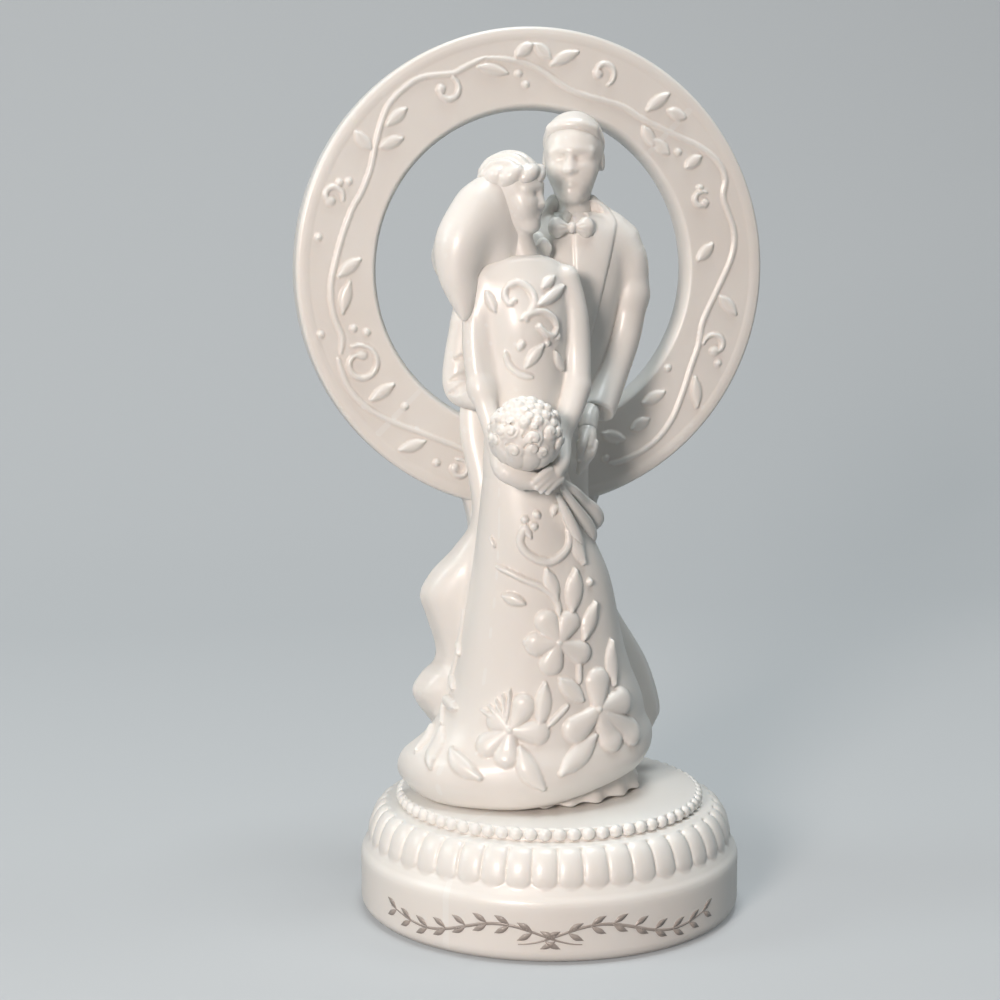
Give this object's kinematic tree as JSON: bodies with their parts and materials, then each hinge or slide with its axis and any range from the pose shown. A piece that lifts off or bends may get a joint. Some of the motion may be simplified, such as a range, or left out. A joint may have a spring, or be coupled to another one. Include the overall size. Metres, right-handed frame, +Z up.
{
  "type": "wedding cake topper",
  "caption": "White glazed porcelain bride and groom standing before an upright vine-wreathed ring on a round fluted base; stands on top of a wedding cake.",
  "frame": {"origin": "centre of the base's foot, on the surface that the topper stands on", "axes": "+Z up; the figures look towards -Y and the ring stands behind them at +Y; +X is the viewer's right"},
  "size_m": [0.114, 0.09, 0.2066],
  "materials": {
    "white_glaze": "clear gloss glaze over white porcelain"
  },
  "bodies": {
    "root": {"base_plinth": "white_glaze", "bead_border": "white_glaze", "bouquet": "white_glaze", "bride_bodice": "white_glaze", "bride_hair": "white_glaze", "bride_head": "white_glaze", "bride_headband": "white_glaze", "bride_left_arm": "white_glaze", "bride_right_arm": "white_glaze", "bride_veil": "white_glaze", "gown_flower_left": "white_glaze", "gown_flower_right": "white_glaze", "gown_flower_upper": "white_glaze", "gown_petticoat": "white_glaze", "gown_scroll": "white_glaze", "gown_skirt": "white_glaze", "gown_train_left": "white_glaze", "gown_train_right": "white_glaze", "groom_boutonniere": "white_glaze", "groom_bow_tie": "white_glaze", "groom_collar": "white_glaze", "groom_hair": "white_glaze", "groom_head": "white_glaze", "groom_jacket": "white_glaze", "groom_left_cuff": "white_glaze", "groom_left_hand": "white_glaze", "groom_left_lapel": "white_glaze", "groom_left_shoe": "white_glaze", "groom_left_sleeve": "white_glaze", "groom_right_lapel": "white_glaze", "groom_right_shoe": "white_glaze", "groom_right_sleeve": "white_glaze", "groom_shirt_front": "white_glaze", "groom_trousers": "white_glaze", "ring_and_stem": "white_glaze", "ring_vine": "white_glaze"}
  },
  "joints": []
}
